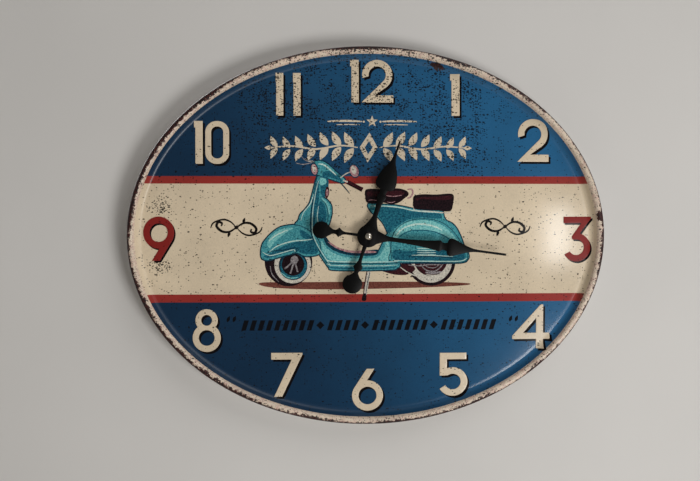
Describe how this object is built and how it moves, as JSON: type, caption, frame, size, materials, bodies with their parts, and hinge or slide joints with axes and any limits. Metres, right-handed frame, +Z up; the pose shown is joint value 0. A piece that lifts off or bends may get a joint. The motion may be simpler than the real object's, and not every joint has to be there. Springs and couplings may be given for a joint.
{
  "type": "oval wall clock",
  "caption": "Oval pressed-tin wall clock with a rolled rim, a printed dial, spade hands and a battery quartz movement hung from a loop.",
  "frame": {"origin": "on the wall plane, behind the axis of the hands", "axes": "+Z up, +X to the reader's right, -Y out of the wall towards the reader"},
  "size_m": [0.4, 0.0313, 0.316],
  "materials": {
    "printed_tin": "gloss",
    "black_steel": "satin",
    "nickel_plate": "polished",
    "brass": "satin",
    "black_rubber": "matt",
    "black_abs": "moulded",
    "white_pom": "moulded",
    "red_plastic": "moulded",
    "ferrite": "ground",
    "soft_iron": "stamped",
    "copper_wire": "enamelled",
    "circuit_laminate": "lacquered",
    "steel_cell": "plated",
    "printed_sleeve": "gloss"
  },
  "bodies": {
    "clock": {"dial_plate": "printed_tin", "rubber_washer": "black_rubber", "brass_washer": "brass", "hex_nut": "brass", "mounting_bush": "brass", "movement_case": "black_abs", "rear_cover": "black_abs", "train_bridge": "white_pom", "stator": "soft_iron", "coil_core": "soft_iron", "coil_bobbin": "white_pom", "coil_winding": "copper_wire", "circuit_board": "circuit_laminate", "quartz_crystal": "nickel_plate", "circuit_chip": "black_abs", "positive_contact": "nickel_plate", "negative_contact": "nickel_plate"},
    "battery": {"battery_cell": "steel_cell", "battery_sleeve": "printed_sleeve"},
    "minutes": {"minute_arbor": "brass", "clutch_washer": "brass", "minute_hand": "black_steel", "hand_cap_nut": "nickel_plate"},
    "hours": {"hour_wheel": "white_pom", "hour_hand": "black_steel", "hour_hand_collet": "brass"},
    "motion": {"minute_wheel": "white_pom"},
    "setting": {"setting_pinion": "red_plastic", "setting_knob": "red_plastic"},
    "centre": {"centre_wheel": "white_pom"},
    "third": {"third_wheel": "white_pom"},
    "second": {"second_wheel": "white_pom"},
    "fifth": {"fifth_wheel": "white_pom"},
    "rotor": {"rotor_pinion": "white_pom", "rotor_magnet": "ferrite"}
  },
  "joints": [
    {"name": "minute_hand_turn", "type": "hinge", "parent": "clock", "child": "minutes", "pos_m": [0, 0, 0], "axis": [0, 1, 0], "continuous": true},
    {"name": "hour_hand_turn", "type": "hinge", "parent": "clock", "child": "hours", "pos_m": [0, 0, 0], "axis": [0, 1, 0], "continuous": true},
    {"name": "motion_wheel_turn", "type": "hinge", "parent": "clock", "child": "motion", "pos_m": [-0.00891, 0, 0.00125], "axis": [0, 1, 0], "continuous": true},
    {"name": "setting_knob_turn", "type": "hinge", "parent": "clock", "child": "setting", "pos_m": [-0.01581, 0, 0.00704], "axis": [0, 1, 0], "continuous": true},
    {"name": "second_wheel_turn", "type": "hinge", "parent": "clock", "child": "second", "pos_m": [0, 0, 0], "axis": [0, 1, 0], "continuous": true},
    {"name": "rotor_turn", "type": "hinge", "parent": "clock", "child": "rotor", "pos_m": [0.01442, 0, 0.00211], "axis": [0, 1, 0], "continuous": true},
    {"name": "fifth_wheel_turn", "type": "hinge", "parent": "clock", "child": "fifth", "pos_m": [0.00951, 0, -0.00134], "axis": [0, 1, 0], "continuous": true},
    {"name": "third_wheel_turn", "type": "hinge", "parent": "clock", "child": "third", "pos_m": [0.00441, 0, 0.0083], "axis": [0, 1, 0], "continuous": true},
    {"name": "centre_wheel_turn", "type": "hinge", "parent": "clock", "child": "centre", "pos_m": [0, 0, 0], "axis": [0, 1, 0], "continuous": true},
    {"name": "battery_slide", "type": "slide", "parent": "clock", "child": "battery", "axis": [0, 1, 0], "range_m": [0, 0.025]}
  ],
  "couplings": [
    {"joint": "hour_hand_turn", "follows": "minute_hand_turn", "ratio": 0.083333},
    {"joint": "motion_wheel_turn", "follows": "minute_hand_turn", "ratio": -0.33333},
    {"joint": "setting_knob_turn", "follows": "minute_hand_turn", "ratio": 1},
    {"joint": "rotor_turn", "follows": "second_wheel_turn", "ratio": 30},
    {"joint": "fifth_wheel_turn", "follows": "second_wheel_turn", "ratio": -6},
    {"joint": "third_wheel_turn", "follows": "second_wheel_turn", "ratio": -0.13333},
    {"joint": "centre_wheel_turn", "follows": "second_wheel_turn", "ratio": 0.016667}
  ]
}
